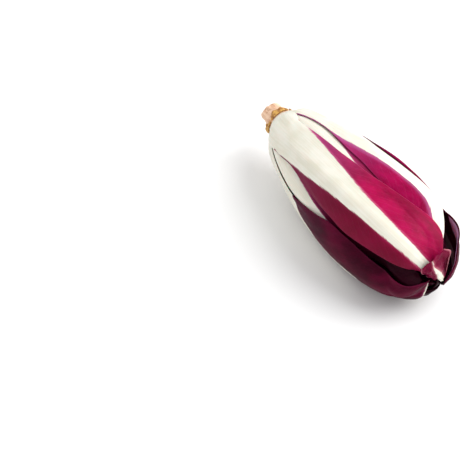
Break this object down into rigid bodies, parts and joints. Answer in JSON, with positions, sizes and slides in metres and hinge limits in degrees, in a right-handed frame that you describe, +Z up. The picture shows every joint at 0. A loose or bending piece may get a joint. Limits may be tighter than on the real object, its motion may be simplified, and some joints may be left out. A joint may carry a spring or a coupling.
{
  "type": "radicchio head",
  "caption": "Long, closed head of red radicchio on its side, with pointed crimson leaves and broad cream ribs wrapped round a cut root stub.",
  "frame": {"origin": "middle of the head's outline in plan, on the surface that it lies on", "axes": "+X from the root stub to the leaf tips along the head's axis, +Z up with the head lying on its flattened underside"},
  "size_m": [0.2052, 0.079, 0.0781],
  "materials": {
    "outer_leaf": "waxy",
    "wrapper_leaf": "waxy",
    "inner_leaf": "waxy",
    "heart_leaf": "waxy",
    "root": "rough",
    "trimmed_base": "rough"
  },
  "bodies": {
    "root": {"deep_leaf_1": "heart_leaf", "deep_leaf_2": "heart_leaf", "deep_leaf_3": "heart_leaf", "deep_leaf_4": "heart_leaf", "heart_leaf_1": "heart_leaf", "heart_leaf_2": "heart_leaf", "heart_leaf_3": "heart_leaf", "inner_leaf_1": "inner_leaf", "inner_leaf_2": "inner_leaf", "inner_leaf_3": "inner_leaf", "inner_leaf_4": "inner_leaf", "inner_leaf_5": "inner_leaf", "outer_leaf_back": "outer_leaf", "outer_leaf_front": "outer_leaf", "outer_leaf_front_low": "outer_leaf", "outer_leaf_hood": "outer_leaf", "outer_leaf_under": "outer_leaf", "root_stub": "root", "trimmed_base_back": "trimmed_base", "trimmed_base_front": "trimmed_base", "trimmed_base_low": "trimmed_base", "trimmed_base_under": "trimmed_base", "wrapper_leaf_back": "wrapper_leaf", "wrapper_leaf_crown": "wrapper_leaf", "wrapper_leaf_front": "wrapper_leaf", "wrapper_leaf_front_low": "wrapper_leaf", "wrapper_leaf_under": "wrapper_leaf"}
  },
  "joints": []
}
